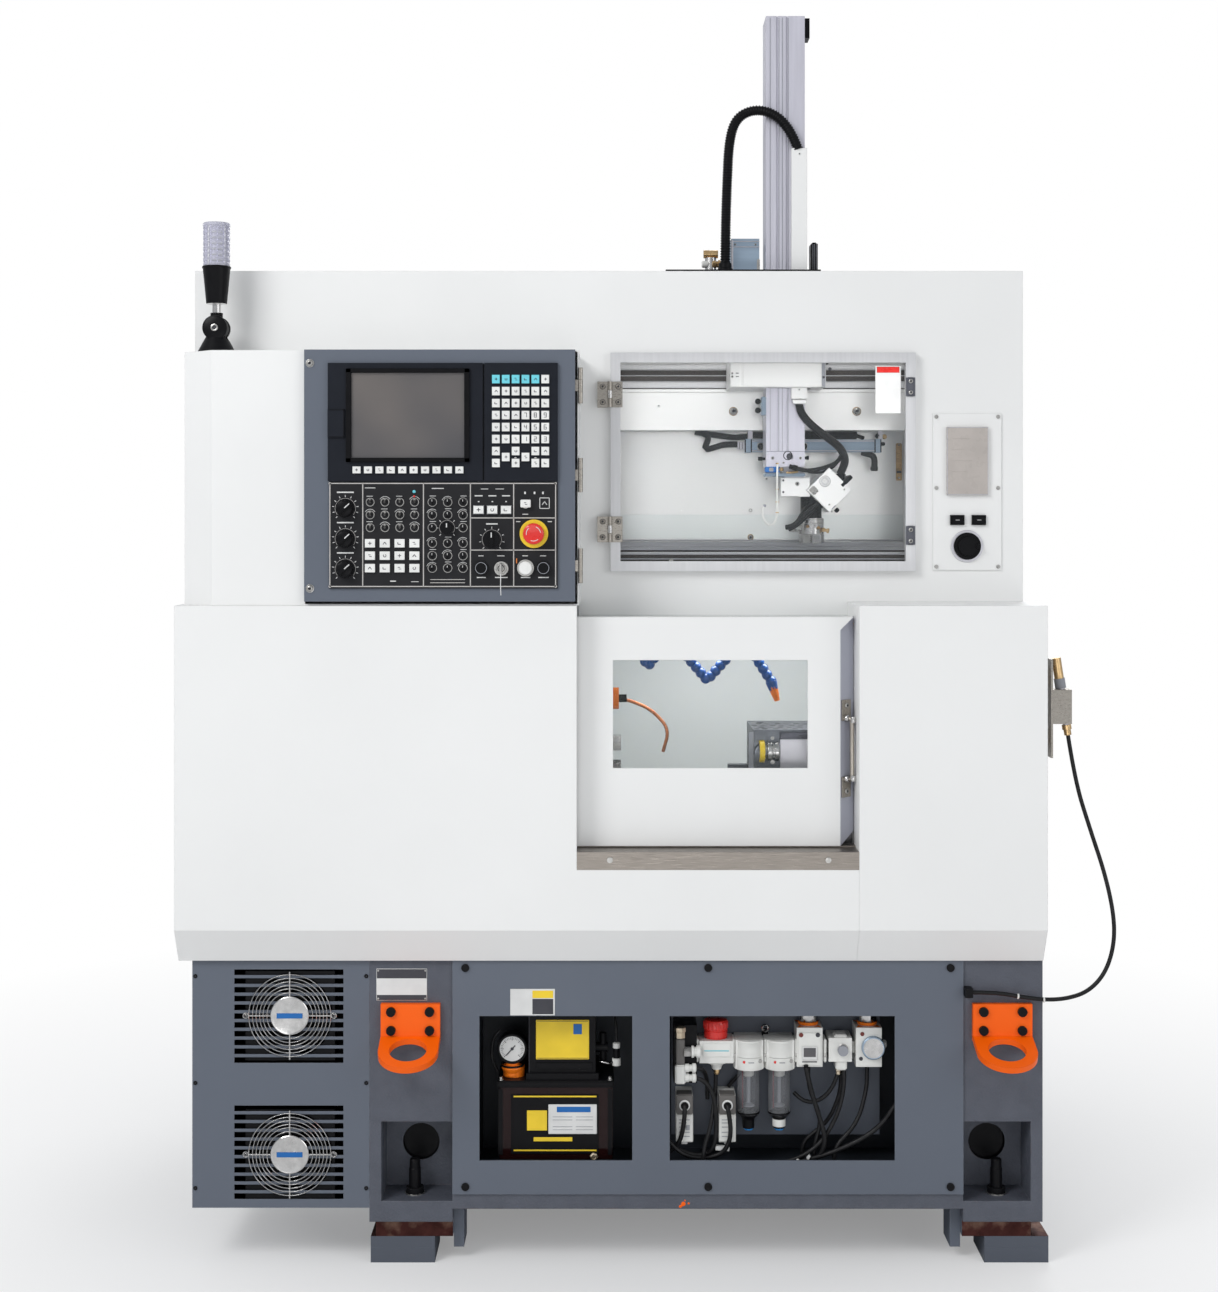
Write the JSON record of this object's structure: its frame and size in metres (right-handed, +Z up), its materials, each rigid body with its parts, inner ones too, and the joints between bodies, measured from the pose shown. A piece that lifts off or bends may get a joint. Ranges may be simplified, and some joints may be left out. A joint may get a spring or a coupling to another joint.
{
  "type": "cnc turning lathe with gantry loader",
  "caption": "Compact CNC turning lathe with sliding door, operating panel, and a gantry loader whose column stands through the roof.",
  "frame": {"origin": "middle of the footprint, on the floor", "axes": "+Z up, -Y towards the operator, +X to the operator's right"},
  "size_m": [1.8029, 1.3002, 2.474],
  "materials": {
    "slate_casting": "painted rough casting",
    "slate_paint": "satin",
    "white_paint": "satin",
    "orange_paint": "satin",
    "bare_steel": "brushed",
    "ground_steel": "ground",
    "silver_aluminium": "anodised",
    "iron": "machined",
    "black_plastic": "matte",
    "unit_plastic": "satin",
    "plate_plastic": "satin",
    "red_plastic": "gloss",
    "white_plastic": "gloss",
    "grey_plastic": "satin",
    "clear_glass": "clear",
    "lens_plastic": "clear ribbed",
    "rubber_black": "matte",
    "blue_plastic": "gloss",
    "smoke_plastic": "smoky",
    "brass_metal": "satin"
  },
  "bodies": {
    "frame": {"cast_base": "slate_casting", "fan_cabinet": "slate_paint", "fan_guards": "black_plastic", "front_cover": "slate_paint", "lifting_brackets": "orange_paint", "fasteners": "ground_steel", "levelling_feet": "bare_steel", "lubricator": "smoke_plastic", "air_prep_unit": "white_plastic", "air_tubes": "black_plastic", "lower_housing_left": "white_paint", "lower_housing_right": "white_paint", "upper_cabinet": "white_paint", "control_box": "white_paint", "chamber_liner": "bare_steel", "door_sill": "bare_steel", "rear_cabinet": "white_paint", "door_hinges": "bare_steel", "loader_panel": "silver_aluminium", "tower_base": "grey_plastic", "gantry_rail": "silver_aluminium", "machine_bed": "iron", "coolant_hoses": "blue_plastic", "air_cylinder": "silver_aluminium", "gun_holder": "grey_plastic", "air_gun": "brass_metal", "air_hose": "rubber_black"},
    "upper_fan": {"fan_rotor_upper": "black_plastic"},
    "lower_fan": {"fan_rotor_lower": "black_plastic"},
    "shutoff": {"shutoff_knob": "red_plastic"},
    "sliding_door": {"main_door": "white_paint", "door_glass": "clear_glass", "door_handle": "ground_steel"},
    "window_door": {"window_frame": "white_paint", "window_glass": "clear_glass", "window_catches": "black_plastic"},
    "panel": {"panel_door": "slate_paint", "display_unit": "unit_plastic", "operator_plate": "plate_plastic"},
    "override_1": {"override_knob_1": "black_plastic"},
    "override_2": {"override_knob_2": "black_plastic"},
    "override_3": {"override_knob_3": "black_plastic"},
    "stop_button": {"e_stop_button": "red_plastic"},
    "start_button": {"cycle_start_button": "white_plastic"},
    "key": {"key_switch": "ground_steel"},
    "dial": {"pulse_dial": "black_plastic"},
    "signal_lamp": {"tower_head": "black_plastic", "tower_lens": "lens_plastic"},
    "carriage": {"gantry_carriage": "silver_aluminium", "conduit_hose": "black_plastic"},
    "column": {"loader_column": "silver_aluminium", "rotary_head": "silver_aluminium", "loader_hose": "rubber_black"},
    "gripper": {"gripper_body": "ground_steel"},
    "jaw_1": {"gripper_jaw_1": "ground_steel"},
    "jaw_2": {"gripper_jaw_2": "ground_steel"},
    "jaw_3": {"gripper_jaw_3": "ground_steel"},
    "spindle": {"chuck": "ground_steel"},
    "saddle": {"tool_slide": "iron"},
    "cross_slide": {"tool_block": "ground_steel"}
  },
  "joints": [
    {"name": "upper_fan_spin", "type": "hinge", "parent": "frame", "child": "upper_fan", "pos_m": [-0.647, -0.52, 0.479], "axis": [0, 1, 0], "continuous": true},
    {"name": "lower_fan_spin", "type": "hinge", "parent": "frame", "child": "lower_fan", "pos_m": [-0.647, -0.52, 0.212], "axis": [0, 1, 0], "continuous": true},
    {"name": "shutoff_turn", "type": "hinge", "parent": "frame", "child": "shutoff", "pos_m": [0.176, -0.481, 0.43], "axis": [0, 0, 1], "range_deg": [0, 90]},
    {"name": "main_door_slide", "type": "slide", "parent": "frame", "child": "sliding_door", "axis": [-1, 0, 0], "range_m": [0, 0.48]},
    {"name": "window_door_swing", "type": "hinge", "parent": "frame", "child": "window_door", "pos_m": [-0.031, -0.43, 1.55], "axis": [0, 0, -1], "range_deg": [0, 90]},
    {"name": "panel_door_swing", "type": "hinge", "parent": "frame", "child": "panel", "pos_m": [-0.087, -0.5845, 1.518], "axis": [0, 0, 1], "range_deg": [0, 90]},
    {"name": "override_1_turn", "type": "hinge", "parent": "panel", "child": "override_1", "pos_m": [-0.533, -0.6, 1.456], "axis": [0, 1, 0], "range_deg": [-135, 135]},
    {"name": "override_2_turn", "type": "hinge", "parent": "panel", "child": "override_2", "pos_m": [-0.533, -0.6, 1.3985], "axis": [0, 1, 0], "range_deg": [-135, 135]},
    {"name": "override_3_turn", "type": "hinge", "parent": "panel", "child": "override_3", "pos_m": [-0.533, -0.6, 1.341], "axis": [0, 1, 0], "range_deg": [-135, 135]},
    {"name": "stop_push", "type": "slide", "parent": "panel", "child": "stop_button", "axis": [0, 1, 0], "range_m": [0, 0.004], "stiffness_N_per_m": 400, "springref_m": -0.004},
    {"name": "start_push", "type": "slide", "parent": "panel", "child": "start_button", "axis": [0, 1, 0], "range_m": [0, 0.003], "stiffness_N_per_m": 300, "springref_m": -0.003},
    {"name": "key_turn", "type": "hinge", "parent": "panel", "child": "key", "pos_m": [-0.237, -0.6, 1.342], "axis": [0, 1, 0], "range_deg": [0, 90]},
    {"name": "dial_turn", "type": "hinge", "parent": "frame", "child": "dial", "pos_m": [0.681, -0.415, 1.382], "axis": [0, 1, 0], "continuous": true},
    {"name": "lamp_tilt", "type": "hinge", "parent": "frame", "child": "signal_lamp", "pos_m": [-0.801, -0.48, 1.809], "axis": [0, 1, 0], "range_deg": [-90, 90]},
    {"name": "gantry_traverse", "type": "slide", "parent": "frame", "child": "carriage", "axis": [1, 0, 0], "range_m": [-0.25, 0.1]},
    {"name": "column_lower", "type": "slide", "parent": "carriage", "child": "column", "axis": [0, 0, -1], "range_m": [0, 0.53], "deforming": ["conduit_hose"]},
    {"name": "rotary_turn", "type": "hinge", "parent": "column", "child": "gripper", "pos_m": [0.388, -0.24, 1.463], "axis": [-0.7071, 0, -0.7071], "range_deg": [0, 180]},
    {"name": "jaw_1_slide", "type": "slide", "parent": "gripper", "child": "jaw_1", "axis": [0, 1, 0], "range_m": [0, 0.003]},
    {"name": "jaw_2_slide", "type": "slide", "parent": "gripper", "child": "jaw_2", "axis": [-0.866, -0.5, 0], "range_m": [0, 0.003]},
    {"name": "jaw_3_slide", "type": "slide", "parent": "gripper", "child": "jaw_3", "axis": [0.866, -0.5, 0], "range_m": [0, 0.003]},
    {"name": "spindle_spin", "type": "hinge", "parent": "frame", "child": "spindle", "pos_m": [-0.06, -0.24, 0.933], "axis": [1, 0, 0], "continuous": true},
    {"name": "tool_slide_feed", "type": "slide", "parent": "frame", "child": "saddle", "axis": [-1, 0, 0], "range_m": [-0.09, 0.12]},
    {"name": "cross_feed", "type": "slide", "parent": "saddle", "child": "cross_slide", "axis": [0, 1, 0], "range_m": [0, 0.06]}
  ],
  "couplings": [
    {"joint": "jaw_2_slide", "follows": "jaw_1_slide", "ratio": 1},
    {"joint": "jaw_3_slide", "follows": "jaw_1_slide", "ratio": 1}
  ]
}
